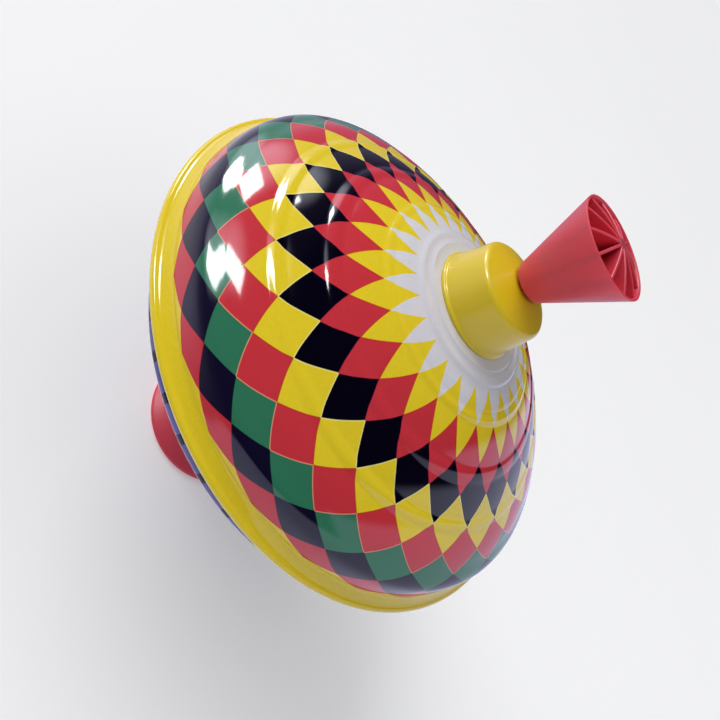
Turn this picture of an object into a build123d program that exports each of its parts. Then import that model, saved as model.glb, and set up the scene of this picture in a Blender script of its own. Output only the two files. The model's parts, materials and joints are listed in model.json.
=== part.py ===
from build123d import *
import math
import os

# Pump humming top, standing upright on its foot. Millimetres, +Z up, origin at the
# middle of the foot's flat base. Pushing the knob sends a twisted steel strip down
# through a slotted plate. A one-way clutch in the collar passes the turn to the drum,
# which spins on a pin fixed in the foot.

# ---- driving dimensions -------------------------------------------------------------
DRUM_R = 95.0  # outer radius over the folded seam
RIM_Z = 118.0  # height of the seam plane
TIN = 0.4  # tinplate thickness
FOOT_R = 32.0  # radius of the foot's base
KNOB_R = 16.8  # radius of the knob's wide open end
KNOB_NECK_R = 6.5  # radius of the knob's narrow end
KNOB_Z = (183.0, 210.8)  # narrow end and wide rim of the knob, pushed down
KNOB_CROWN_Z = 213.4  # top of the ribs, at the middle of the knob
KNOB_FLOOR_Z = 192.0
KNOB_WALL = 1.0
KNOB_RIBS = 12
KNOB_RIB = 0.8  # thickness of a rib
KNOB_RIB_TURN = 15.0  # angle of the first rib, in degrees
PITCH = 48.0  # rise of the strip in one full twist
GAP = 0.3  # free gap between pieces that move past each other
RUN_FIT = 0.05  # radial clearance of the pivot pin in its bush

# Upper dome: outside radius and height above the seam plane, from the wall inward.
DOME = [
    (90.5, 4.6), (90.0, 8.0), (88.5, 12.6), (84.7, 16.7), (78.5, 20.7), (70.6, 24.9),
    (61.7, 29.5), (51.9, 34.2), (40.7, 39.0), (29.7, 42.7), (18.0, 44.6),
]
CROWN_Z = RIM_Z + DOME[-1][1]  # flat top of the dome, under the collar
CENTRE_HOLE_R = 9.0  # hole in the middle of both shells

# Lower funnel
WALL_R = 88.8  # upright wall below the seam
WALL_HEIGHT = 11.0
SHOULDER = (85.0, 101.0)  # where the wall has turned into the funnel
FUNNEL_MID = (53.9, 63.2)
FUNNEL_END = (17.0, 31.0)  # edge of the flat bottom
SOUND_HOLES = 6
SOUND_HOLE_R = 3.0
SOUND_HOLE_AT = 27.5  # radius of the ring of sound holes

# Pivot
PIN_R = 2.5
PIN_Z = (8.0, 48.0)
BOSS_TOP = 27.0  # top of the foot's middle boss
WASHER = 1.0  # thrust washer
HUB_Z = (29.4, 58.0)
HUB_R = 8.95
BUSH_R = 3.6
BUSH_TOP = 44.0
CLIP_Z = (45.2, 45.9)  # groove near the top of the pin

# Guide tube and clutch
TUBE_R = (5.2, 6.0)
TUBE_Z = (50.0, 156.0)
STOP_BORE_R = 4.7  # room for the pin's washer and clip in the hub, and size of the strip's stop
CUP_R = (10.8, 12.5)
CUP_TOP = 175.4
CUP_FLOOR = 166.0
CAP_R = 11.6
CAP_BOTTOM = 173.6
RATCHET_TOP = 167.8  # root of the fixed ring's teeth
TOOTH_R = (7.6, 10.2)
TEETH = 12
TOOTH = 1.2
DISC_R = 10.3
DISC_Z = (170.6, 173.0)
PLATE_Z = (171.2, 172.4)

# Twisted strip
STRIP = (6.0, 1.2)  # width and thickness
STRIP_TWIST_Z = (63.0, 183.0)
STRIP_END_Z = (58.0, 196.0)
SLOT = (6.8, 2.4)  # slot in the driver plate
PLATE_R = 8.0
COLLAR_MOUTH_Z = (178.6, 181.6)
PUSH_RING = 0.8  # thickness of a push-on ring

# Sound unit
REEDS = 4
REED_AT = 20.5  # radius of the middle of each slot
REED_FIXED_AT = REED_AT + 8.5  # radius of the rivet that holds a reed
REED_DISC_Z = (44.0, 44.6)
REED_THICK = 0.3
RIVET_R = (0.8, 1.4)  # shank and head


def disc(radius, z0, z1, bore=0.0):
    """A round plate or tube about Z."""
    solid = Pos(0, 0, z0) * Cylinder(radius, z1 - z0, align=(Align.CENTER, Align.CENTER, Align.MIN))
    if bore:
        solid -= Pos(0, 0, z0 - 1) * Cylinder(
            bore, z1 - z0 + 2, align=(Align.CENTER, Align.CENTER, Align.MIN)
        )
    return solid


def turned(*edges):
    """A solid turned about Z from a closed outline of edges drawn in the XZ plane."""
    face = make_face(list(edges))
    return revolve(face, axis=Axis.Z, revolution_arc=360)


def xz(points):
    """Radius and height pairs as points in the XZ plane."""
    return [(r, 0, z) for r, z in points]


def turned_polygon(points):
    """A solid turned about Z from straight lines between radius and height pairs."""
    return turned(*Polyline(*xz(points), close=True).edges())


def inset(points, distance):
    """The points of a section moved in by a distance, square to the line through their neighbours."""
    moved = []
    for i, (r, z) in enumerate(points):
        r0, z0 = points[max(i - 1, 0)]
        r1, z1 = points[min(i + 1, len(points) - 1)]
        length = math.hypot(r1 - r0, z1 - z0)
        moved.append((r - distance * (z1 - z0) / length, z + distance * (r1 - r0) / length))
    return moved


def around(count, item):
    """Copies of one item, evenly spaced about Z."""
    return [Rot(0, 0, 360 * i / count) * item for i in range(count)]


# ---- drum ---------------------------------------------------------------------------
def upper_shell():
    """Printed tin dome, with its edge folded over the lower shell's flange."""
    outer = [(r, RIM_Z + z) for r, z in DOME]
    inner = inset(outer, TIN)
    inner[-1] = (outer[-1][0], outer[-1][1] - TIN)
    hole_top = (CENTRE_HOLE_R, CROWN_Z)
    hole_bottom = (CENTRE_HOLE_R, CROWN_Z - TIN)
    dome = turned(
        Spline(*xz(outer), tangents=((0, 0, 1), (-1, 0, 0))),
        Line(*xz([outer[-1], hole_top])),
        Line(*xz([hole_top, hole_bottom])),
        Line(*xz([hole_bottom, inner[-1]])),
        Spline(*xz(inner), tangents=((0, 0, 1), (-1, 0, 0))),
        Line(*xz([inner[0], outer[0]])),
    )
    return dome + hem(outer[0], inner[0])


def hem(wall_out, wall_in):
    """The rolled seam: a bead, a shallow groove and a fold that grips the lower flange."""
    roll = 1.35
    fold_r = DRUM_R - roll
    slot_r = DRUM_R - 0.7
    slot = TIN / 2 + 0.05
    bead = (92.6, RIM_Z + 2.6)
    groove = (91.1, RIM_Z + 3.3)
    under = [(91.4, RIM_Z + 1.6), (91.9, RIM_Z + slot), (slot_r, RIM_Z + slot)]
    fold = [(slot_r, RIM_Z - slot), (fold_r - 1.6, RIM_Z - slot), (fold_r - 1.6, RIM_Z - roll)]
    return turned(
        *Polyline(*xz([wall_out, groove, bead, (fold_r, RIM_Z + roll)])).edges(),
        ThreePointArc(*xz([(fold_r, RIM_Z + roll), (DRUM_R, RIM_Z), (fold_r, RIM_Z - roll)])),
        *Polyline(*xz([(fold_r, RIM_Z - roll), *reversed(fold), *reversed(under), wall_in])).edges(),
        Line(*xz([wall_in, wall_out])),
    )


def lower_shell():
    """Printed tin funnel with its flange held in the seam, and a ring of sound holes."""
    funnel_out = [SHOULDER, FUNNEL_MID, FUNNEL_END]
    funnel_in = [(r - TIN * 0.72, z + TIN * 0.7) for r, z in funnel_out]
    wall_foot = RIM_Z - WALL_HEIGHT
    flange_top = RIM_Z + TIN / 2
    flange_bottom = RIM_Z - TIN / 2
    flange_r = DRUM_R - 0.8
    bottom = FUNNEL_END[1]
    down = (-0.68, 0, -0.73)
    shell = turned(
        Line(*xz([(WALL_R - TIN, flange_top), (flange_r, flange_top)])),
        Line(*xz([(flange_r, flange_top), (flange_r, flange_bottom)])),
        Line(*xz([(flange_r, flange_bottom), (WALL_R, flange_bottom)])),
        Line(*xz([(WALL_R, flange_bottom), (WALL_R, wall_foot)])),
        Spline(*xz([(WALL_R, wall_foot), SHOULDER]), tangents=((0, 0, -1), down)),
        ThreePointArc(*xz(funnel_out)),
        Line(*xz([FUNNEL_END, (CENTRE_HOLE_R, bottom)])),
        Line(*xz([(CENTRE_HOLE_R, bottom), (CENTRE_HOLE_R, bottom + TIN)])),
        Line(*xz([(CENTRE_HOLE_R, bottom + TIN), funnel_in[-1]])),
        ThreePointArc(*xz(reversed(funnel_in))),
        Spline(*xz([funnel_in[0], (WALL_R - TIN, wall_foot)]), tangents=((0.68, 0, 0.73), (0, 0, 1))),
        Line(*xz([(WALL_R - TIN, wall_foot), (WALL_R - TIN, flange_top)])),
    )
    drill = Pos(SOUND_HOLE_AT, 0, bottom) * Cylinder(SOUND_HOLE_R, 40)
    for hole in around(SOUND_HOLES, drill):
        shell -= hole
    return shell


def collar():
    """Yellow moulded cap over the clutch, with a thin skirt, tapered side and shallow cone top."""
    side_top = 177.0
    mouth_bottom, mouth_top = COLLAR_MOUTH_Z
    return turned_polygon(
        [
            (19.3, CROWN_Z), (19.3, CROWN_Z + 0.9), (18.5, CROWN_Z + 1.6), (16.9, side_top),
            (16.1, side_top + 1.0), (TUBE_R[0], mouth_top), (TUBE_R[0], mouth_bottom),
            (11.0, side_top - 0.1), (11.0, CUP_TOP), (12.4, CUP_TOP), (12.4, side_top - 0.6),
            (15.3, side_top - 1.4), (16.6, CROWN_Z + 2.2), (15.2, CROWN_Z + 1.7), (15.2, CROWN_Z),
        ]
    )


def top_bush():
    """Guide ring for the strip in the collar's mouth."""
    mouth_bottom, mouth_top = COLLAR_MOUTH_Z
    bore = 3.6
    return disc(TUBE_R[0], mouth_bottom, mouth_top, bore) + disc(6.2, mouth_top, mouth_top + 0.8, bore)


def clutch_housing():
    """Cup for the clutch, with a flange on the dome and a spigot through its middle hole."""
    body = disc(15.1, CROWN_Z, CROWN_Z + 1.6, TUBE_R[0])
    body += disc(HUB_R, TUBE_Z[1] - 6, CROWN_Z, TUBE_R[0])
    body -= disc(TUBE_R[1], TUBE_Z[1] - 6, TUBE_Z[1])
    body += disc(CUP_R[1], CROWN_Z + 1.6, CUP_TOP, CUP_R[0])
    body += disc(CUP_R[0], CROWN_Z + 1.6, CUP_FLOOR, TUBE_R[0])
    return body - disc(CAP_R, CAP_BOTTOM, CUP_TOP)


def push_ring(z0, inner_r, outer_r=14.0):
    """Push-on steel ring that locks a spigot."""
    return disc(outer_r, z0, z0 + PUSH_RING, inner_r)


def saw_teeth(z_base, height, inner_r, outer_r):
    """A ring of one-way teeth, each a ramp with one upright face."""
    step = 2 * math.pi / TEETH
    width = 2 * outer_r * math.sin(step / 2) * 0.86
    teeth = []
    low, high = min(0, height), max(0, height)
    for i in range(TEETH):
        ramp = Polyline((0, -width / 2, 0), (0, width / 2, 0), (0, width / 2, height), close=True)
        tooth = extrude(make_face(ramp.edges()), amount=outer_r, dir=(1, 0, 0))
        teeth.append(Pos(0, 0, z_base) * Rot(0, 0, math.degrees(step * i)) * tooth)
    ring = disc(outer_r, z_base + low, z_base + high, inner_r)
    return [tooth & ring for tooth in teeth]


def clutch_ring():
    """Fixed toothed ring on the floor of the cup."""
    ring = disc(CUP_R[0], CUP_FLOOR, RATCHET_TOP, 6.0)
    for tooth in saw_teeth(RATCHET_TOP, TOOTH, *TOOTH_R):
        ring += tooth
    return ring


def clutch_cap():
    """Lid of the cup."""
    return disc(CAP_R, CAP_BOTTOM, CUP_TOP, 4.4)


def guide_tube():
    """Tube that the strip runs in, between the two hubs."""
    return disc(TUBE_R[1], *TUBE_Z, TUBE_R[0])


def lower_hub():
    """Hub through the bottom of the drum, with the bush below and the tube's socket above."""
    hub = disc(HUB_R, *HUB_Z) + disc(14.0, HUB_Z[0], FUNNEL_END[1])
    hub += disc(11.0, REED_DISC_Z[0] - 2, REED_DISC_Z[0])
    hub -= disc(BUSH_R, HUB_Z[0] - 1, BUSH_TOP)
    hub -= disc(STOP_BORE_R, BUSH_TOP, TUBE_Z[0])
    return hub - disc(TUBE_R[1], TUBE_Z[0], HUB_Z[1] + 1)


def bearing_bush():
    """Flanged brass bush that turns on the pivot pin."""
    bore = PIN_R + RUN_FIT
    flange_z = BOSS_TOP + WASHER + GAP
    return disc(BUSH_R, HUB_Z[0], BUSH_TOP, bore) + disc(6.5, flange_z, HUB_Z[0], bore)


def reed_disc():
    """Flat plate across the bottom of the drum, with a slot under each reed."""
    plate = disc(31.5, *REED_DISC_Z, HUB_R)
    for slot in around(REEDS, Pos(REED_AT, 0, REED_DISC_Z[0]) * Box(13, 3, 2)):
        plate -= slot
    return plate


def reeds():
    """Brass tongues over the slots, fixed at one end."""
    middle = REED_DISC_Z[1] + REED_THICK / 2
    tongue = Pos(REED_AT + 1.5, 0, middle) * Box(18, 2.4, REED_THICK)
    tongue -= Pos(REED_FIXED_AT, 0, middle) * Cylinder(RIVET_R[0], 2)
    return around(REEDS, tongue)


def reed_rivets():
    """Small rivets that hold the reeds."""
    top = REED_DISC_Z[1] + REED_THICK
    rivet = disc(RIVET_R[0], REED_DISC_Z[1], top) + disc(RIVET_R[1], top, top + 0.6)
    return around(REEDS, Pos(REED_FIXED_AT, 0, 0) * rivet)


# ---- foot ---------------------------------------------------------------------------
def foot_section(wall):
    """The trumpet-shaped foot as a turned solid, with its surface moved in by a wall."""
    lip = 2.4
    top = BOSS_TOP - wall
    edge_r = FOOT_R - wall * 1.1
    rise = lip if not wall else 1.0
    base = 0.0 if not wall else -1.0
    edges = Polyline(*xz([(15.5 - wall, top), (0, top), (0, base), (edge_r - 0.8, base)])).edges()
    return turned(
        *edges,
        ThreePointArc(*xz([(edge_r - 0.8, base), (edge_r, base + 0.9), (edge_r - 0.5, rise)])),
        ThreePointArc(*xz([(edge_r - 0.5, rise), (20.2 - wall, 12.5 - wall), (15.5 - wall, top)])),
    )


def foot():
    """Red moulded foot: a hollow trumpet with ribs and a middle boss for the pin."""
    cavity = foot_section(2.2)
    rib = Pos(16, 0, 14) * Box(28, 1.8, 20)
    body = foot_section(0) - cavity
    for piece in around(8, rib):
        body += piece & cavity
    body += disc(6.0, PIN_Z[0], BOSS_TOP)
    body -= disc(4.4, -1, PIN_Z[0])
    return body - disc(PIN_R, PIN_Z[0] - 1, BOSS_TOP + 1)


def pivot_pin():
    """Steel pin with a head under the boss and a groove for the clip."""
    pin = disc(PIN_R, *PIN_Z) + disc(4.2, PIN_Z[0] - 1.5, PIN_Z[0])
    return pin - disc(PIN_R + 1, *CLIP_Z, PIN_R - 0.4)


def retaining_clip():
    """E-shaped clip in the pin's groove."""
    clip = disc(4.3, CLIP_Z[0] + RUN_FIT, CLIP_Z[1] - RUN_FIT, PIN_R - 0.4)
    return clip - Pos(4, 0, CLIP_Z[0]) * Box(6, 3.2, 2)


# ---- plunger ------------------------------------------------------------------------
def knob_radius(z):
    """Outside radius of the knob's cone at a height."""
    return KNOB_NECK_R + (KNOB_R - KNOB_NECK_R) * (z - KNOB_Z[0]) / (KNOB_Z[1] - KNOB_Z[0])


def knob():
    """Red cone, open at the top, with twelve ribs that rise to the middle."""
    floor = KNOB_FLOOR_Z
    rim = KNOB_Z[1]
    rib_edge = rim - 0.7
    outer = turned_polygon(
        [
            (0, KNOB_Z[0]), (KNOB_NECK_R - 0.8, KNOB_Z[0]), (KNOB_NECK_R, KNOB_Z[0] + 0.8),
            (KNOB_R, rim - 0.4), (KNOB_R - 0.3, rim), (0, rim),
        ]
    )
    floor_r = knob_radius(floor) - KNOB_WALL
    cavity = turned_polygon([(0, floor), (floor_r, floor), (KNOB_R - KNOB_WALL, rim + 1), (0, rim + 1)])
    edge = (knob_radius(rib_edge) - KNOB_WALL, rib_edge)
    crown = turned(
        *Polyline(*xz([(0, KNOB_CROWN_Z), (0, floor), (floor_r, floor), edge])).edges(),
        ThreePointArc(*xz([edge, (8.5, KNOB_CROWN_Z - 0.9), (0, KNOB_CROWN_Z)])),
    )
    body = outer - cavity
    rib = Pos(8.5, 0, floor + 12) * Box(17, KNOB_RIB, 26)
    for piece in around(KNOB_RIBS, Rot(0, 0, KNOB_RIB_TURN) * rib):
        body += piece & crown
    body += disc(1.6, floor - 1, KNOB_CROWN_Z - 0.3)
    tang = Pos(0, 0, KNOB_Z[0]) * Box(
        STRIP[0], STRIP[1], STRIP_END_Z[1] - KNOB_Z[0], align=(Align.CENTER, Align.CENTER, Align.MIN)
    )
    return body + disc(4.6, floor - 1, 198.0) - tang - knob_pin()


def knob_pin():
    """Pin moulded into the knob, through the top of the strip."""
    return Pos(0, 0, 188) * Rot(90, 0, 0) * Cylinder(1.0, 11.0)


def spindle():
    """Twisted steel strip with a flat length at each end."""
    low, high = STRIP_TWIST_Z
    turn = 360 * (high - low) / PITCH
    section = Pos(0, 0, low) * Face.make_rect(*STRIP)
    strip = Solid.extrude_linear_with_rotation(section, (0, 0, low), (0, 0, high - low), turn)
    flat = (Align.CENTER, Align.CENTER, Align.MIN)
    strip += Pos(0, 0, STRIP_END_Z[0]) * Box(*STRIP, low - STRIP_END_Z[0], align=flat)
    strip += Pos(0, 0, high) * Rot(0, 0, turn) * Box(*STRIP, STRIP_END_Z[1] - high, align=flat)
    return strip - knob_pin() - stop_pin()


def spindle_stop():
    """Round stop on the strip's lower end, which rides in the guide tube."""
    low = STRIP_END_Z[0] + 2.4
    return disc(STOP_BORE_R, low, low + 2.4) - Pos(0, 0, low) * Box(*STRIP, 6)


def stop_pin():
    """Cross pin under the stop."""
    return Pos(0, 0, STRIP_END_Z[0] + 1.6) * Rot(90, 0, 0) * Cylinder(0.8, 7.0)


# ---- one-way drive ------------------------------------------------------------------
def strip_angle(z):
    """Angle of the strip's wide side at a height, in degrees."""
    return 360 * (z - STRIP_TWIST_Z[0]) / PITCH


def driver_disc():
    """Toothed disc, drawn lifted clear of the fixed ring, as when it runs free."""
    body = disc(DISC_R, *DISC_Z, 4.4) - disc(PLATE_R, *PLATE_Z)
    for tooth in saw_teeth(DISC_Z[0], -TOOTH, *TOOTH_R):
        body += tooth
    return body


def driver_plate():
    """Steel plate in the disc, with the slot that the strip passes through."""
    middle = (PLATE_Z[0] + PLATE_Z[1]) / 2
    slot = Pos(0, 0, middle) * Rot(0, 0, strip_angle(middle)) * Box(*SLOT, 4)
    return disc(PLATE_R, *PLATE_Z) - slot


NODES = {
    "upper_shell": upper_shell,
    "lower_shell": lower_shell,
    "collar": collar,
    "top_bush": top_bush,
    "clutch_housing": clutch_housing,
    "housing_ring": lambda: push_ring(CROWN_Z - TIN - PUSH_RING, HUB_R),
    "clutch_ring": clutch_ring,
    "clutch_cap": clutch_cap,
    "guide_tube": guide_tube,
    "lower_hub": lower_hub,
    "hub_ring": lambda: push_ring(FUNNEL_END[1] + TIN, HUB_R),
    "bearing_bush": bearing_bush,
    "reed_disc": reed_disc,
    "reed_disc_ring": lambda: push_ring(REED_DISC_Z[1], HUB_R, 12.3),
    "reeds": reeds,
    "reed_rivets": reed_rivets,
    "foot": foot,
    "pivot_pin": pivot_pin,
    "thrust_washer": lambda: disc(7.0, BOSS_TOP, BOSS_TOP + WASHER, PIN_R),
    "retaining_washer": lambda: disc(4.3, BUSH_TOP + GAP, CLIP_Z[0], PIN_R),
    "retaining_clip": retaining_clip,
    "knob": knob,
    "knob_pin": knob_pin,
    "spindle": spindle,
    "spindle_stop": spindle_stop,
    "stop_pin": stop_pin,
    "driver_disc": driver_disc,
    "driver_plate": driver_plate,
}


def main():
    """Writes one STEP file for each node."""
    os.makedirs("parts", exist_ok=True)
    for name, build in NODES.items():
        made = build()
        shape = Compound(children=list(made)) if isinstance(made, list) else made
        export_step(shape, f"parts/{name}.step")


if __name__ == "__main__":
    main()
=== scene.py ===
import json
import math

import bmesh
import bpy
import numpy as np
from mathutils import Matrix, Quaternion, Vector


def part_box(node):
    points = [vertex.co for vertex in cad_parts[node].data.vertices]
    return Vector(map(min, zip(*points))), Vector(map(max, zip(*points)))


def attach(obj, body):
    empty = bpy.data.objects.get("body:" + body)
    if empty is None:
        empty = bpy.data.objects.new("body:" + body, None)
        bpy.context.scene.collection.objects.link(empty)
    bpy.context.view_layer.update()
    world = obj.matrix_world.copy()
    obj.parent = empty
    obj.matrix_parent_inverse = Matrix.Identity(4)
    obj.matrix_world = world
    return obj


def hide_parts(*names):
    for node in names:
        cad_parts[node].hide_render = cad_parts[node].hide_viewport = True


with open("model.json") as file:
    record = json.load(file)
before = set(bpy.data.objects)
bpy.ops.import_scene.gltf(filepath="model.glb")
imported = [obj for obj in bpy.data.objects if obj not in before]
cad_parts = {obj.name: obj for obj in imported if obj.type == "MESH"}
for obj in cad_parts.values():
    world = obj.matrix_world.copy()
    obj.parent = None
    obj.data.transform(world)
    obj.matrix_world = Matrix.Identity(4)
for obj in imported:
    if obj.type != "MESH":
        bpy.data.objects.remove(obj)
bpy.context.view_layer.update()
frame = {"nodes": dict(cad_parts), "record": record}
MM = 0.001

# Sizes are in mm, and profiles are (radius, height) pairs.
# Heights on the drum are counted from the plane of its seam.
ROLL = 1.35  # radius of the rolled edge at the seam
SEAM_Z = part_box("upper_shell")[0].z / MM + ROLL
RIM_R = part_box("upper_shell")[1].x / MM
CROWN_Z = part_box("upper_shell")[1].z / MM
COLLAR_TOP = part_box("collar")[1].z / MM
TIN = 0.4
SEAM_SLOT = 0.5  # height of the slot in the seam, which the lower shell's flange lies in
CENTRE_HOLE_R = 9.0

COLUMNS = 25  # diamonds in one turn of the print
SHELL_STEPS = COLUMNS * 14  # faces in one turn of the dome
SMALL_STEPS = 160  # the same for the collar and the knob
BUSH_STEPS = 96
SHARP = 32  # angle in degrees over which a modelled edge is shaded sharp
CAD_SHARP = 30

# Sections of the dome, from its foot to its middle, and of the rim, from there out to the roll
DOME = [
    (90.5, 4.6), (90.0, 8.0), (88.5, 12.6), (84.7, 16.7), (78.5, 20.7), (70.6, 24.9),
    (61.7, 29.5), (51.9, 34.2), (40.7, 39.0), (29.7, 42.7), (18.0, 44.6),
]
RIM = [(90.5, 4.6), (91.7, 2.75), (RIM_R - ROLL, ROLL)]

# What is pressed out of the dome
CREASES = (83.0, 72.7, 68.5, 58.2, 53.0, 40.4, 37.2, 31.0)  # radii that part bands and beads in turn
BAND = 0.26  # rise of the wide bands
BEAD = 0.42  # rise of the narrow beads
SHOULDER = (83.8, 88.0, 90.5)  # inner edge, peak and outer edge of the roll round its shoulder
SHOULDER_RISE = 0.5
CENTRE_RINGS = ((27.0, 1.8, 0.55), (22.9, 1.4, 0.42))  # radius, half width and rise

KNOB_R, KNOB_NECK_R = 16.8, 6.5
KNOB_LOW, KNOB_RIM, KNOB_FLOOR, KNOB_CROWN = 182.15, 210.8, 192.0, 213.4  # heights above the floor
KNOB_FLARE = (KNOB_R - KNOB_NECK_R) / (KNOB_RIM - KNOB_LOW)  # gain in radius for each mm of height
KNOB_WALL = 0.9
KNOB_HUB_R = 1.8
KNOB_RIBS = 12
KNOB_RIB_TURN = 15.0  # angle of the first rib, in degrees
KNOB_RIB = 1.0  # thickness of a rib
KNOB_RIB_DROP = 0.6  # from the rim down to where a rib meets the wall
KNOB_RIB_SINK = 0.5  # how far a rib reaches into the floor
KNOB_RIB_LEAST = 0.5  # least height of a rib, where it meets the wall
KNOB_RIB_SLOPE = 0.3  # share of a rib's fall that is a straight slope, while the rest is a curve
KNOB_RIB_EDGE = ((0.7, 0.08), (1.0, 0.3))  # rounded top edge: share of half the rib, and fall in mm
KNOB_RIB_STEPS = 16  # sections along a rib

# Heights above the seam of the circles that the diamonds' corners lie on, from the rim inward
PRINT_CIRCLES = (4.8, 7.3, 12.7, 16.7, 20.7, 24.8, 29.65, 34.25, 39.0, 42.9)
ROW_AT_HOLE = 12.0  # row number at the hole in the middle, inside the last circle
ROW_AT_RIM = -0.5  # row number on the rim, outside the first circle
PRINT_TURN = 7.6625  # angle in degrees where the first column starts
PRINT_LINE = (0.007, 0.016)  # half width in columns of the line between inks: full strength, and none

FUNNEL_ROW_RATIO = 1.13  # radius ratio of one row of the funnel's print to the next
FUNNEL_LINE = (0.012, 0.024)  # the same as PRINT_LINE, for the funnel's white lines
WALL_BLOCKS = 44  # dark blocks around the wall below the seam
WALL_BLOCK = 0.26  # length of a block, as a share of the space from one to the next
WALL_START = 0.43  # where the first block starts, counted in blocks
WALL_LINES = (2.6, 13.6)  # heights below the seam of the white lines on the wall
WALL_LINE = 0.4  # half their width


# ---- curves and meshes ---------------------------------------------------------------
TINY = 1e-4  # a length in mm that counts as none
MOST_OF_SIDE = 0.45  # share of a side that the rounding of one corner may use


def along_span(share, start, start_slope, end, end_slope):
    """The place at a share of the way along a cubic span, from its ends and its slopes there."""
    return (
        (2 * share**3 - 3 * share**2 + 1) * start + (share**3 - 2 * share**2 + share) * start_slope
        + (3 * share**2 - 2 * share**3) * end + (share**3 - share**2) * end_slope
    )


def smooth_curve(points, start, end, per_span):
    """Points along a smooth curve through the given ones, with a direction at each end."""
    points = np.array(points, float)
    lengths = np.linalg.norm(np.diff(points, axis=0), axis=1)
    # The slopes at the ends are given. At each point between them, the curvature runs on through it.
    system = np.eye(len(points))
    wanted = np.zeros((len(points), 2))
    wanted[0], wanted[-1] = start, end
    for i in range(1, len(points) - 1):
        before, after = lengths[i - 1], lengths[i]
        system[i, i - 1 : i + 2] = [1 / before, 2 / before + 2 / after, 1 / after]
        turns = (points[i] - points[i - 1]) / before**2 + (points[i + 1] - points[i]) / after**2
        wanted[i] = 3 * turns
    slopes = np.linalg.solve(system, wanted)
    curve = []
    for i, length in enumerate(lengths):
        ends = points[i], length * slopes[i], points[i + 1], length * slopes[i + 1]
        curve += [along_span(share, *ends) for share in np.linspace(0, 1, per_span, endpoint=False)]
    curve.append(points[-1])
    return np.array(curve)


def steady(xs, ys, x):
    """Smooth rising interpolation through (xs, ys), with no overshoot."""
    xs, ys = np.array(xs, float), np.array(ys, float)
    step = np.diff(ys) / np.diff(xs)
    slope = np.concatenate([[step[0]], 2 / (1 / step[:-1] + 1 / step[1:]), [step[-1]]])
    i = np.clip(np.searchsorted(xs, x) - 1, 0, len(xs) - 2)
    width = xs[i + 1] - xs[i]
    share = (x - xs[i]) / width
    inside = along_span(share, ys[i], width * slope[i], ys[i + 1], width * slope[i + 1])
    below = ys[0] + (x - xs[0]) * step[0]
    above = ys[-1] + (x - xs[-1]) * step[-1]
    return np.where(x < xs[0], below, np.where(x > xs[-1], above, inside))


def rounded(points, radii, steps):
    """A closed outline with a small curve at each corner, which starts and ends a radius away from it."""
    outline = []
    for i, point in enumerate(points):
        corner = Vector(point)
        before = Vector(points[i - 1]) - corner
        after = Vector(points[(i + 1) % len(points)]) - corner
        reach = min(radii[i], before.length * MOST_OF_SIDE, after.length * MOST_OF_SIDE)
        if reach < TINY:
            outline.append(tuple(corner))
            continue
        start = corner + before.normalized() * reach
        end = corner + after.normalized() * reach
        for k in range(steps + 1):
            share = k / steps
            place = start * (1 - share) ** 2 + corner * 2 * share * (1 - share) + end * share**2
            outline.append(tuple(place))
    return outline


def put_in_scene(name, data):
    """A new object in the scene."""
    made = bpy.data.objects.new(name, data)
    bpy.context.scene.collection.objects.link(made)
    return made


def new_piece(name, mesh, materials, body, replaced):
    """Puts a finished mesh in the scene as a piece of the object."""
    piece = put_in_scene(name, mesh)
    for material in materials:
        mesh.materials.append(material)
    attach(piece, body)
    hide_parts(replaced)


def lathe(name, profile, steps, print_rows=None, material_rows=None):
    """A closed mesh turned about Z from a closed (radius, height) outline in mm.

    print_rows gives each outline point's row in the print, and material_rows its material.
    """
    count = len(profile)
    rows = print_rows or [0.0] * count
    materials = material_rows or [0] * count
    start = PRINT_TURN / 360 * COLUMNS
    turn = [2 * math.pi * k / steps for k in range(steps)]
    verts = [(r * math.cos(a) * MM, r * math.sin(a) * MM, z * MM) for a in turn for r, z in profile]
    on_axis = [r < TINY for r, _ in profile]
    faces, face_materials, flat = [], [], []
    for k in range(steps):
        here, there = k * count, (k + 1) % steps * count
        u0, u1 = COLUMNS * k / steps - start, COLUMNS * (k + 1) / steps - start
        for i in range(count):
            j = (i + 1) % count
            corners = []
            for step, u, n in ((here, u0, i), (there, u1, i), (there, u1, j), (here, u0, j)):
                corner = n if on_axis[n] else step + n
                if corner not in [c[0] for c in corners]:
                    corners.append((corner, u, rows[n]))
            if len(corners) > 2:
                faces.append([c[0] for c in corners])
                face_materials.append(materials[i])
                flat += [value for c in corners for value in c[1:]]
    mesh = bpy.data.meshes.new(name)
    mesh.from_pydata(verts, [], faces)
    mesh.polygons.foreach_set("material_index", face_materials)
    mesh.uv_layers.new(name="print").data.foreach_set("uv", flat)
    return finished(mesh)


def shade_smooth(mesh, sharp):
    """Shades a mesh smooth, apart from edges over an angle in degrees."""
    mesh.polygons.foreach_set("use_smooth", [True] * len(mesh.polygons))
    mesh.set_sharp_from_angle(angle=math.radians(sharp))


def finished(mesh):
    """Drops the points that no face uses, turns the faces outward, and shades them."""
    work = bmesh.new()
    work.from_mesh(mesh)
    bmesh.ops.delete(work, geom=[v for v in work.verts if not v.link_faces], context="VERTS")
    bmesh.ops.recalc_face_normals(work, faces=work.faces)
    work.to_mesh(mesh)
    work.free()
    shade_smooth(mesh, SHARP)
    return mesh


# ---- material nodes ------------------------------------------------------------------
def linear_light(value):
    """A 0 to 255 display value as linear light, by the sRGB formula."""
    share = value / 255
    return share / 12.92 if share <= 0.04045 else ((share + 0.055) / 1.055) ** 2.4


def srgb(red, green, blue):
    """A colour from its 0 to 255 display values."""
    return (linear_light(red), linear_light(green), linear_light(blue), 1.0)


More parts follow.
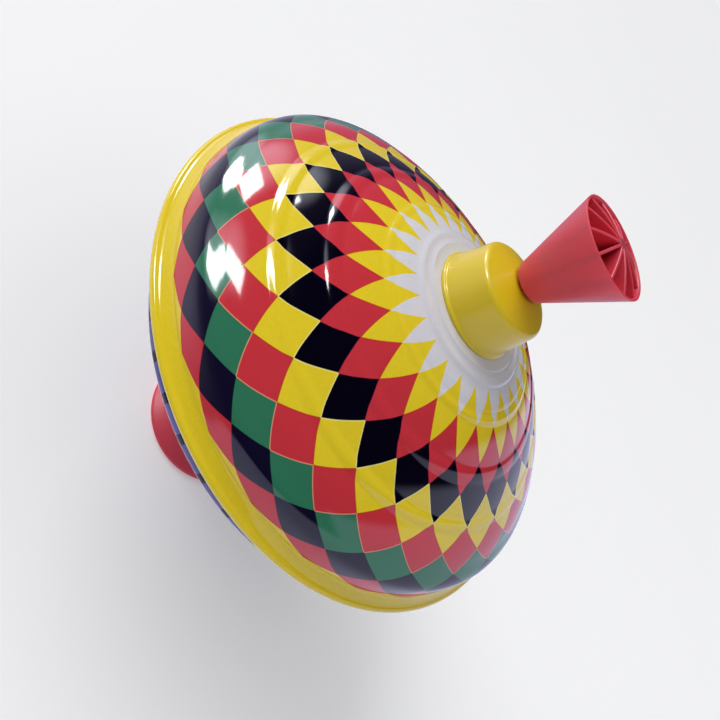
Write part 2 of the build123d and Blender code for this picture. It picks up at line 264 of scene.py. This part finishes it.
def add(tree, kind, inputs=None, **settings):
    """A shader node with its settings and inputs. An input may be a value or another node's socket."""
    made = tree.nodes.new("ShaderNode" + kind)
    for key, value in settings.items():
        setattr(made, key, value)
    for key, value in (inputs or {}).items():
        if isinstance(value, bpy.types.NodeSocket):
            tree.links.new(value, made.inputs[key])
        else:
            made.inputs[key].default_value = value
    return made


def sums(tree, operation, first, second=0.0, third=0.0):
    """One step of arithmetic on values or sockets."""
    return add(tree, "Math", {0: first, 1: second, 2: third}, operation=operation).outputs[0]


def blend_colours(tree, factor, first, second):
    """The first colour where the factor is 0, and the second where it is 1."""
    # The Mix node has sockets of the same name for each data type. These are the numbers of its colours.
    return add(tree, "Mix", {0: factor, 6: first, 7: second}, data_type="RGBA").outputs[2]


def ramp(tree, factor, stops, interpolation="LINEAR"):
    """The node of a colour ramp from (position, colour) stops."""
    made = add(tree, "ValToRGB", {0: factor})
    band = made.color_ramp
    band.interpolation = interpolation
    while len(band.elements) < len(stops):
        band.elements.new(1.0)
    for element, (position, colour) in zip(band.elements, stops):
        element.position = position
        element.color = colour
    return made


def noise(tree, scale, detail=3.0, roughness=0.5):
    """Noise fixed to the object, as a 0 to 1 value."""
    where = add(tree, "TexCoord").outputs["Object"]
    inputs = {"Vector": where, "Scale": scale, "Detail": detail, "Roughness": roughness}
    return add(tree, "TexNoise", inputs).outputs[0]


def spread(tree, value, low, high):
    """A 0 to 1 value stretched to run from low to high."""
    return add(tree, "MapRange", {"Value": value, "To Min": low, "To Max": high}).outputs[0]


def close_to(tree, distance, full, none):
    """1 up to the distance called full, and falling to 0 at the distance called none."""
    inputs = {"Value": distance, "From Min": full, "From Max": none, "To Min": 1.0, "To Max": 0.0}
    return add(tree, "MapRange", inputs).outputs[0]


def base_material(name, metallic=0.0, coat=0.0, coat_roughness=0.03):
    """A material, its node tree and its shader."""
    material = bpy.data.materials.new(name)
    material.use_nodes = True
    tree = material.node_tree
    shader = tree.nodes["Principled BSDF"]
    shader.inputs["Metallic"].default_value = metallic
    shader.inputs["Coat Weight"].default_value = coat
    shader.inputs["Coat Roughness"].default_value = coat_roughness
    return material, tree, shader


def rough_and_bump(tree, shader, grain, roughness, strength, distance):
    """Uneven roughness and a fine bump from the same grain. Returns the bumped normal."""
    tree.links.new(spread(tree, grain, *roughness), shader.inputs["Roughness"])
    bump = add(tree, "Bump", {"Strength": strength, "Distance": distance, "Height": grain}).outputs[0]
    tree.links.new(bump, shader.inputs["Normal"])
    return bump


def plastic(name, colour, shade, roughness=(0.32, 0.42), coat=0.0, depth=0.0):
    """Moulded plastic: a slightly uneven colour, and a fine satin grain.

    depth is the share of light that goes under the skin.
    """
    material, tree, shader = base_material(name, coat=coat, coat_roughness=0.12)
    cloud = spread(tree, noise(tree, scale=45.0), low=0.0, high=0.7)
    tree.links.new(blend_colours(tree, cloud, colour, shade), shader.inputs["Base Color"])
    grain = noise(tree, scale=1400.0, detail=4.0, roughness=0.6)
    rough_and_bump(tree, shader, grain, roughness, strength=0.15, distance=0.00004)
    shader.inputs["Subsurface Weight"].default_value = depth
    shader.inputs["Subsurface Radius"].default_value = (1.0, 0.35, 0.3)
    shader.inputs["Subsurface Scale"].default_value = 0.003
    return material


def rolled_metal(name, colour, shade):
    """Bare metal with a drawn or rolled grain."""
    material, tree, shader = base_material(name, metallic=1.0)
    where = add(tree, "TexCoord").outputs["Object"]
    stretched = add(tree, "Mapping", {"Vector": where, "Scale": (1.0, 1.0, 12.0)}).outputs[0]
    grain = add(tree, "TexNoise", {"Vector": stretched, "Scale": 260.0, "Detail": 4.0}).outputs[0]
    tree.links.new(blend_colours(tree, grain, colour, shade), shader.inputs["Base Color"])
    rough_and_bump(tree, shader, grain, roughness=(0.18, 0.34), strength=0.2, distance=0.00003)
    return material


# ---- printed tin ---------------------------------------------------------------------
YELLOW = srgb(238, 211, 42)
RED = srgb(208, 54, 64)
NAVY = srgb(18, 13, 40)
GREEN = srgb(50, 121, 90)
BLACK = srgb(4, 2, 16)
WHITE = srgb(222, 222, 230)
LILAC = srgb(96, 92, 152)
PRINT_COLOURS = [YELLOW, RED, NAVY, GREEN, RED, YELLOW, BLACK, RED, YELLOW, WHITE]
# The thin line where two inks meet, from the rim inward: its colour, and how strong it is
PRINT_LINES = [
    (srgb(240, 150, 40), 0.5), (srgb(200, 40, 50), 0.5), (srgb(10, 20, 30), 0.8),
    (srgb(235, 160, 120), 0.9), (srgb(190, 40, 20), 0.75), (srgb(245, 235, 150), 0.95),
    (srgb(200, 50, 80), 0.6), (srgb(200, 50, 20), 0.75), (srgb(240, 225, 120), 0.4),
]


def lattice(tree, columns, rows):
    """Row number of the diamond at a point, the nearest border's number, and the distance to it."""
    half = sums(tree, "MULTIPLY_ADD", rows, 0.5, 0.5)
    first = sums(tree, "ADD", half, columns)
    second = sums(tree, "SUBTRACT", half, columns)
    row = sums(tree, "ADD", sums(tree, "FLOOR", first), sums(tree, "FLOOR", second))
    across = sums(tree, "FRACT", first), sums(tree, "FRACT", second)
    outer = sums(tree, "MINIMUM", *across)
    inner = sums(tree, "SUBTRACT", 1.0, sums(tree, "MAXIMUM", *across))
    border = sums(tree, "ADD", row, sums(tree, "LESS_THAN", inner, outer))
    return row, border, sums(tree, "MINIMUM", inner, outer)


def step_ramp(tree, number, colours):
    """A ramp that gives colours[n] for a whole number n, and its end colours beyond them."""
    count = len(colours)
    where = sums(tree, "DIVIDE", sums(tree, "ADD", number, 0.5), float(count))
    return ramp(tree, where, [(n / count, c) for n, c in enumerate(colours)], "CONSTANT")


def tin_finish(tree, shader, colour):
    """Printed ink under a hard gloss varnish, with faint marks from the rollers."""
    mottle = noise(tree, scale=900.0, detail=4.0, roughness=0.65)
    brightness = spread(tree, mottle, low=0.93, high=1.07)
    ink = add(tree, "HueSaturation", {"Color": colour, "Value": brightness}).outputs[0]
    tree.links.new(ink, shader.inputs["Base Color"])
    shader.inputs["Specular IOR Level"].default_value = 0.0  # only the varnish shines
    marks = noise(tree, scale=55.0, detail=2.0)
    bump = rough_and_bump(tree, shader, marks, roughness=(0.34, 0.44), strength=0.12, distance=0.0002)
    tree.links.new(bump, shader.inputs["Coat Normal"])


def dome_print():
    """The upper shell's print: eight rows of diamonds between a yellow rim and a white middle."""
    material, tree, shader = base_material("dome_print", coat=1.0, coat_roughness=0.08)
    place = add(tree, "SeparateXYZ", {0: add(tree, "UVMap", uv_map="print").outputs[0]})
    row, border, distance = lattice(tree, place.outputs[0], place.outputs[1])
    colour = step_ramp(tree, row, PRINT_COLOURS).outputs[0]
    lines = [(*c[:3], strength) for c, strength in PRINT_LINES]
    line = step_ramp(tree, sums(tree, "SUBTRACT", border, 1.0), lines)
    strength = sums(tree, "MULTIPLY", close_to(tree, distance, *PRINT_LINE), line.outputs[1])
    before_last = sums(tree, "LESS_THAN", border, len(PRINT_LINES) + 0.5)
    after_first = sums(tree, "GREATER_THAN", border, 0.5)
    strength = sums(tree, "MULTIPLY", sums(tree, "MULTIPLY", strength, before_last), after_first)
    tin_finish(tree, shader, blend_colours(tree, strength, colour, line.outputs[0]))
    return material


def funnel_print():
    """The lower shell's print: a banded wall below the seam, then a lattice down the funnel."""
    material, tree, shader = base_material("funnel_print", coat=0.5, coat_roughness=0.05)
    place = add(tree, "SeparateXYZ", {0: add(tree, "TexCoord").outputs["Object"]})
    x, y, z = place.outputs
    turn = sums(tree, "DIVIDE", sums(tree, "ARCTAN2", y, x), 2 * math.pi)
    flat = add(tree, "CombineXYZ", {0: x, 1: y}).outputs[0]
    radius = add(tree, "VectorMath", {0: flat}, operation="LENGTH").outputs["Value"]
    radius = sums(tree, "DIVIDE", radius, MM)
    rows = sums(tree, "LOGARITHM", radius, FUNNEL_ROW_RATIO)
    row, border, distance = lattice(tree, sums(tree, "MULTIPLY", turn, float(COLUMNS)), rows)
    shades = [NAVY, LILAC, BLACK, LILAC]
    shade = step_ramp(tree, sums(tree, "FLOORED_MODULO", row, float(len(shades))), shades).outputs[0]
    funnel = blend_colours(tree, close_to(tree, distance, *FUNNEL_LINE), shade, WHITE)

    below = sums(tree, "SUBTRACT", SEAM_Z, sums(tree, "DIVIDE", z, MM))
    count = sums(tree, "MULTIPLY_ADD", turn, float(WALL_BLOCKS), WALL_START)
    block = sums(tree, "LESS_THAN", sums(tree, "FRACT", count), WALL_BLOCK)
    wall = blend_colours(tree, block, LILAC, BLACK)
    for line in WALL_LINES:
        wall = blend_colours(tree, sums(tree, "COMPARE", below, line, WALL_LINE), wall, WHITE)
    on_wall = sums(tree, "LESS_THAN", below, WALL_LINES[-1] + WALL_LINE)
    tin_finish(tree, shader, blend_colours(tree, on_wall, funnel, wall))
    return material


# ---- pieces --------------------------------------------------------------------------
def pressed(radius):
    """How far the tin is pressed out at a radius."""
    rise = 0.0
    for k, (outer, inner) in enumerate(zip(CREASES, CREASES[1:])):
        if inner < radius < outer:
            share = (radius - inner) / (outer - inner)
            rise += (BEAD if k % 2 else BAND) * 4 * share * (1 - share)
    inner, peak, outer = SHOULDER
    if inner < radius < outer:
        foot = inner if radius < peak else outer
        share = (radius - foot) / (peak - foot)
        rise += SHOULDER_RISE * share**2 * (3 - 2 * share)
    for centre, half, height in CENTRE_RINGS:
        if abs(radius - centre) < half:
            rise += height * math.cos((radius - centre) / half * math.pi / 2) ** 2
    return rise


def moved_along_normal(points, distances):
    """Points of an open profile moved square to it. Positive is to the right of its direction."""
    way = np.gradient(points, axis=0)
    way /= np.linalg.norm(way, axis=1)[:, None]
    return points + np.array(distances)[:, None] * np.stack([way[:, 1], -way[:, 0]], 1)


def build_upper_shell():
    """Printed dome with pressed beads and bands, its edge rolled over the lower shell's flange."""
    base = smooth_curve(DOME, start=(0, 1), end=(-1, 0), per_span=14)
    rows = steady(PRINT_CIRCLES, range(len(PRINT_CIRCLES)), base[:, 1])
    outside = moved_along_normal(base, [pressed(r) for r, _ in base])
    rim = smooth_curve(RIM, start=(0.1, -1), end=(1, -0.2), per_span=12)[1:]
    turn = np.radians(np.arange(78, -91, -12))
    roll = [(RIM_R - ROLL + ROLL * math.cos(a), ROLL * math.sin(a)) for a in turn]
    # The roll folds in under the lower shell's flange, and the inside starts above it.
    fold_r, slot_r, low, high = RIM_R - 2.9, RIM_R - 0.7, -SEAM_SLOT / 2, SEAM_SLOT / 2
    fold = [(fold_r, -ROLL), (fold_r, low), (slot_r, low), (slot_r, high)]
    under = [*fold, (91.9, high), (91.3, 1.6), (90.1, 4.6)]
    inside = moved_along_normal(base, [-TIN] * len(base))[::6]  # coarser, because it is out of sight
    hole_top, hole_low = (CENTRE_HOLE_R, DOME[-1][1]), (CENTRE_HOLE_R, DOME[-1][1] - TIN)
    outer = [*map(tuple, outside[::-1]), *map(tuple, rim), *roll]
    profile = [hole_top, *outer, *under, *map(tuple, inside[1:]), hole_low]
    print_rows = [ROW_AT_HOLE, *rows[::-1], *[ROW_AT_RIM] * (len(profile) - 1 - len(rows))]
    hidden = len(under) + len(inside)
    material_rows = [0] * (len(profile) - hidden) + [1] * hidden
    profile = [(r, z + SEAM_Z) for r, z in profile]
    mesh = lathe("dome", profile, SHELL_STEPS, print_rows, material_rows)
    new_piece("dome", mesh, [PRINT, STEEL], "drum", "upper_shell")


def build_collar():
    """Yellow cap with a thin skirt, a tapered side, a rounded shoulder and a shallow cone top."""
    low, top = CROWN_Z, COLLAR_TOP
    skirt = [(19.3, low), (19.3, low + 1.0), (18.4, low + 1.5)]
    shoulder = [(16.9, top - 4.3), (15.9, top - 3.3)]
    mouth = [(6.4, top - 0.05), (5.25, top), (5.25, top - 3.0)]
    inside = [(11.0, top - 4.8), (14.9, top - 6.0), (16.2, low + 2.6), (15.6, low)]
    outline = skirt + shoulder + mouth + inside
    radii = [0.15, 0.5, 0.5, 0.9, 0.9, 0.4, 0.2, 0.2, 0.5, 0.5, 0.5, 0.15]
    mesh = lathe("collar_cap", rounded(outline, radii, steps=6), SMALL_STEPS)
    new_piece("collar_cap", mesh, [YELLOW_PLASTIC], "drum", "collar")


def build_top_bush():
    """Guide ring for the strip, flush with the collar's mouth."""
    low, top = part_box("top_bush")[0].z / MM, COLLAR_TOP
    outline = [(3.6, low), (5.2, low), (5.2, top), (3.6, top)]
    mesh = lathe("bush_ring", rounded(outline, [0.2, 0.2, 0.1, 0.3], steps=4), BUSH_STEPS)
    new_piece("bush_ring", mesh, [YELLOW_PLASTIC], "drum", "top_bush")


def knob_wall_r(z):
    """Outside radius of the knob's cone at a height."""
    return KNOB_NECK_R + KNOB_FLARE * (z - KNOB_LOW)


def add_rib(work, turn):
    """One rib of the knob: a thin web from the middle to the wall, with a rounded top edge."""
    edge_z = KNOB_RIM - KNOB_RIB_DROP
    edge_r = knob_wall_r(edge_z) - KNOB_WALL / 2
    half = KNOB_RIB / 2
    cos, sin = math.cos(turn), math.sin(turn)
    rings = []
    for r in np.linspace(0.0, edge_r, KNOB_RIB_STEPS):
        share = r / edge_r
        fall = KNOB_RIB_SLOPE * share + (1 - KNOB_RIB_SLOPE) * share**2
        top = KNOB_CROWN - (KNOB_CROWN - edge_z) * fall
        wall_z = KNOB_LOW + (r + KNOB_WALL / 2 - KNOB_NECK_R) / KNOB_FLARE
        low = min(max(KNOB_FLOOR - KNOB_RIB_SINK, wall_z), top - KNOB_RIB_LEAST)
        right = [(half * part, top - drop) for part, drop in KNOB_RIB_EDGE] + [(half, low)]
        left = [(-across, z) for across, z in reversed(right)]
        ring = []
        for across, z in [*left, (0.0, top), *right]:
            x, y = r * cos - across * sin, r * sin + across * cos
            ring.append(work.verts.new((x * MM, y * MM, z * MM)))
        rings.append(ring)
    for here, there in zip(rings, rings[1:]):
        for i in range(len(here)):
            j = (i + 1) % len(here)
            work.faces.new((here[i], there[i], there[j], here[j]))
    work.faces.new(rings[0])
    work.faces.new(rings[-1][::-1])


def build_knob():
    """Thin-walled red cone, open at the top, with ribs that rise to a small hub."""
    floor_r = knob_wall_r(KNOB_FLOOR) - KNOB_WALL
    outline = [
        (0.0, KNOB_LOW), (KNOB_NECK_R, KNOB_LOW), (KNOB_R, KNOB_RIM), (KNOB_R - KNOB_WALL, KNOB_RIM),
        (floor_r, KNOB_FLOOR), (KNOB_HUB_R + 0.1, KNOB_FLOOR), (KNOB_HUB_R, KNOB_CROWN - 0.1),
        (0.0, KNOB_CROWN),
    ]
    radii = [0.0, 2.0, 0.4, 0.35, 1.2, 0.4, 0.3, 0.0]
    mesh = lathe("knob_moulding", rounded(outline, radii, steps=6), SMALL_STEPS)
    work = bmesh.new()
    work.from_mesh(mesh)
    for n in range(KNOB_RIBS):
        add_rib(work, math.radians(KNOB_RIB_TURN + 360 * n / KNOB_RIBS))
    work.to_mesh(mesh)
    work.free()
    new_piece("knob_moulding", finished(mesh), [RED_PLASTIC], "plunger", "knob")


# ---- scene ---------------------------------------------------------------------------
# Directions are given by an azimuth and an elevation in degrees
CAMERA_PLACE = (133.43, -133.19, 260.98)  # mm
CAMERA_BACK = (-45.531, 39.361)  # from what it sees towards the camera
CAMERA_ROLL = 67.526  # degrees
LENS = 30.671
SENSOR_WIDTH = 36.0
NEAREST_SEEN = 0.01  # m
ROOM_UP = (-135.14, 28.49)  # the way up in the room that the top lies in
ROOM_BRIGHT = (-132.38, -27.98)  # towards the pale wall of that room
# Stops are at a share of the way from facing away from a direction, 0, to facing it, 1
TABLE_STOPS = [(0.0, (0.84, 0.85, 1.12, 1)), (0.34, (0.80, 0.82, 1.12, 1)), (0.375, (0.0, 0.0, 0.0, 1))]
WALL_STOPS = [
    (0.50, (0.01, 0.01, 0.03, 1)), (0.66, (0.08, 0.07, 0.13, 1)), (0.76, (0.24, 0.22, 0.36, 1)),
    (0.90, (1.0, 0.97, 1.3, 1)), (1.0, (1.05, 1.05, 1.15, 1)),
]
GLOWS = ((-119, 42), (-158, 23))  # directions of the glow around each window
GLOW_SPREAD = (0.98, 0.999)  # share at which a glow starts, and at which it is full
GLOW_COLOUR = (2.4, 2.5, 2.9)
EVEN_LIGHT = (0.20, 0.205, 0.22, 1)  # what lights the object
BACKDROP = (0.86, 0.87, 0.88, 1)  # what the camera sees past the floor
SUN_DISTANCE = 2.0  # m
WINDOW_DISTANCE = 1.2  # m
FLOOR_HALF = 6.0  # m
FLOOR_COLOURS = ((0.83, 0.83, 0.83, 1), (0.86, 0.86, 0.86, 1))


def heading(azimuth, elevation):
    """The direction at an azimuth and an elevation."""
    turn, rise = math.radians(azimuth), math.radians(elevation)
    return Vector((math.cos(turn) * math.cos(rise), math.sin(turn) * math.cos(rise), math.sin(rise)))


def build_camera():
    """The camera, at the photo's view of the object."""
    data = bpy.data.cameras.new("camera")
    data.lens = LENS
    data.sensor_width = SENSOR_WIDTH
    data.clip_start = NEAREST_SEEN
    camera = put_in_scene("camera", data)
    upright = heading(*CAMERA_BACK).to_track_quat("Z", "Y")
    roll = Quaternion((0, 0, 1), math.radians(CAMERA_ROLL))
    camera.matrix_world = Matrix.LocRotScale(Vector(CAMERA_PLACE) * MM, upright @ roll, None)
    bpy.context.scene.camera = camera


def place_light(data, azimuth, elevation, distance):
    """Puts a light in a direction from the middle of the object, facing it."""
    way = heading(azimuth, elevation)
    light = put_in_scene(data.name, data)
    light.location = Vector((0, 0, SEAM_Z * MM)) + way * distance
    light.rotation_mode = "QUATERNION"
    light.rotation_quaternion = way.to_track_quat("Z", "Y")
    light.visible_camera = False
    return light


def soft_light(name, azimuth, elevation, strength, spread_deg):
    """A wide even light that gives soft shadows and no mirror image of itself."""
    data = bpy.data.lights.new(name, "SUN")
    data.energy = strength
    data.angle = math.radians(spread_deg)
    place_light(data, azimuth, elevation, SUN_DISTANCE).visible_glossy = False


def window(name, azimuth, elevation, size, power):
    """A small bright rectangle, which shows in the gloss as a window does."""
    data = bpy.data.lights.new(name, "AREA")
    data.shape = "RECTANGLE"
    data.size, data.size_y = size
    data.energy = power
    place_light(data, azimuth, elevation, WINDOW_DISTANCE).visible_diffuse = False


def build_stage():
    """A wide pale floor."""
    half = FLOOR_HALF
    mesh = bpy.data.meshes.new("floor")
    corners = [(-half, -half, 0), (half, -half, 0), (half, half, 0), (-half, half, 0)]
    mesh.from_pydata(corners, [], [(0, 1, 2, 3)])
    floor = put_in_scene("floor", mesh)
    material, tree, shader = base_material("floor_paint")
    cloud = noise(tree, scale=3.0, detail=2.0)
    tree.links.new(blend_colours(tree, cloud, *FLOOR_COLOURS), shader.inputs["Base Color"])
    shader.inputs["Roughness"].default_value = 0.6
    shader.inputs["Specular IOR Level"].default_value = 0.1
    shader.inputs["Emission Color"].default_value = (1.0, 0.99, 0.98, 1)
    shader.inputs["Emission Strength"].default_value = 0.21
    mesh.materials.append(material)
    floor.visible_glossy = False


def share_towards(tree, way, azimuth, elevation):
    """0 where a way is opposite to a direction, and 1 where it is along it."""
    ways = {0: way, 1: heading(azimuth, elevation)}
    along = add(tree, "VectorMath", ways, operation="DOT_PRODUCT").outputs["Value"]
    return sums(tree, "MULTIPLY_ADD", along, 0.5, 0.5)


def build_room():
    """Even soft room light. Gloss shows a dark room with a pale table, a pale wall and two glows."""
    world = bpy.data.worlds.new("room")
    bpy.context.scene.world = world
    world.use_nodes = True
    tree = world.node_tree
    background = tree.nodes["Background"]
    way = add(tree, "TexCoord").outputs["Generated"]
    table = ramp(tree, share_towards(tree, way, *ROOM_UP), TABLE_STOPS).outputs[0]
    wall = ramp(tree, share_towards(tree, way, *ROOM_BRIGHT), WALL_STOPS).outputs[0]
    seen = add(tree, "VectorMath", {0: table, 1: wall}, operation="ADD").outputs[0]
    start, full = GLOW_SPREAD
    for direction in GLOWS:
        share = share_towards(tree, way, *direction)
        reach = {"Value": share, "From Min": start, "From Max": full}
        glow = add(tree, "MapRange", reach, interpolation_type="SMOOTHSTEP").outputs[0]
        lit = {0: glow, 1: GLOW_COLOUR, 2: seen}
        seen = add(tree, "VectorMath", lit, operation="MULTIPLY_ADD").outputs[0]
    path = add(tree, "LightPath")
    light = blend_colours(tree, path.outputs["Is Glossy Ray"], EVEN_LIGHT, seen)
    shown = blend_colours(tree, path.outputs["Is Camera Ray"], light, BACKDROP)
    tree.links.new(shown, background.inputs[0])


PRINT = dome_print()
FUNNEL = funnel_print()
YELLOW_PLASTIC = plastic(
    "yellow_moulding", srgb(236, 208, 24), srgb(224, 192, 22), roughness=(0.28, 0.36), coat=0.3
)
# Both red colours are partly the plastic's own red and partly painted sheen: they are lighter and pinker
# to stand in for the room's reflection in the gloss.
RED_PLASTIC = plastic(
    "red_moulding", srgb(226, 74, 92), srgb(214, 64, 82), roughness=(0.36, 0.46), depth=0.5
)
WHITE_PLASTIC = plastic("white_moulding", srgb(232, 232, 226), srgb(222, 222, 214))
GREY_PLASTIC = plastic("grey_moulding", srgb(96, 98, 102), srgb(84, 86, 90))
STEEL = rolled_metal("bright_steel", (0.66, 0.63, 0.57, 1), (0.56, 0.53, 0.48, 1))
BRASS = rolled_metal("plain_brass", (0.80, 0.60, 0.28, 1), (0.70, 0.50, 0.22, 1))

NODE_MATERIALS = {
    "printed_tin": PRINT, "printed_tin_lower": FUNNEL, "yellow_plastic": YELLOW_PLASTIC,
    "red_plastic": RED_PLASTIC, "white_plastic": WHITE_PLASTIC, "grey_plastic": GREY_PLASTIC,
    "steel": STEEL, "brass": BRASS,
}


def paint_cad_nodes():
    """Gives each CAD node the material of its slot."""
    for part in frame["record"]["subparts"]:
        mesh = frame["nodes"][part["node"]].data
        mesh.materials.clear()
        mesh.materials.append(NODE_MATERIALS[part["material_slot"]])
        shade_smooth(mesh, CAD_SHARP)


paint_cad_nodes()
build_upper_shell()
build_collar()
build_top_bush()
build_knob()
build_stage()
build_room()
build_camera()
soft_light("key", azimuth=-135, elevation=38, strength=1.75, spread_deg=45)
soft_light("top", azimuth=0, elevation=90, strength=0.85, spread_deg=90)
window("window_left", azimuth=-112, elevation=46, size=(0.20, 0.36), power=5.4)
window("window_right", azimuth=-146, elevation=28, size=(0.24, 0.28), power=5.2)
bpy.context.scene.view_settings.view_transform = "Standard"
